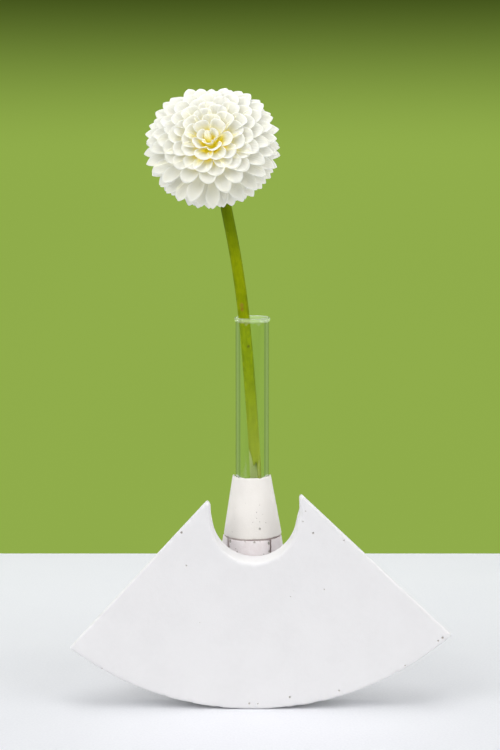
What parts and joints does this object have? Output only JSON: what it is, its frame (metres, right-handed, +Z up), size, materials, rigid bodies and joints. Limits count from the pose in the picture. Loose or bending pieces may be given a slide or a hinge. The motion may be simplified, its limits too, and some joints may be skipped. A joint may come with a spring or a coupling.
{
  "type": "dahlia in vase",
  "caption": "Single ball dahlia leaning in a glass test tube, held by a tapered plaster collar on a fin behind a fan-shaped notched plate.",
  "frame": {"origin": "on the surface that the vase stands on, under the axis of the glass tube", "axes": "+Z up along the tube, -Y out of the plate's face towards the viewer, +X to the viewer's right"},
  "size_m": [0.2219, 0.1375, 0.3592],
  "materials": {
    "plaster": "white cast plaster, matt, with fine pores and small air-bubble pits",
    "plaster_cream": "cream cast plaster, matt, rougher, with pits and worn edges",
    "glass": "clear laboratory glass, faintly green at the edges",
    "stem": "olive-green plant stem, softly satin, faint lengthwise ribs and small brown marks",
    "leaf": "green plant tissue, satin",
    "petal": "white petals with cream throats, soft and slightly translucent looking",
    "heart": "closed young petals, cream with golden shadows"
  },
  "bodies": {
    "root": {"front_plate": "plaster", "back_fin": "plaster_cream", "cheek_left": "plaster_cream", "cheek_right": "plaster_cream", "collar": "plaster_cream", "glass_tube": "glass", "stem": "stem", "receptacle": "leaf", "bracts": "leaf", "petal_row_1": "petal", "petal_row_2": "petal", "petal_row_3": "petal", "petal_row_4": "petal", "petal_row_5": "petal", "petal_row_6": "petal", "petal_row_7": "petal", "petal_row_8": "petal", "petal_row_9": "petal", "heart_bud": "heart"}
  },
  "joints": []
}
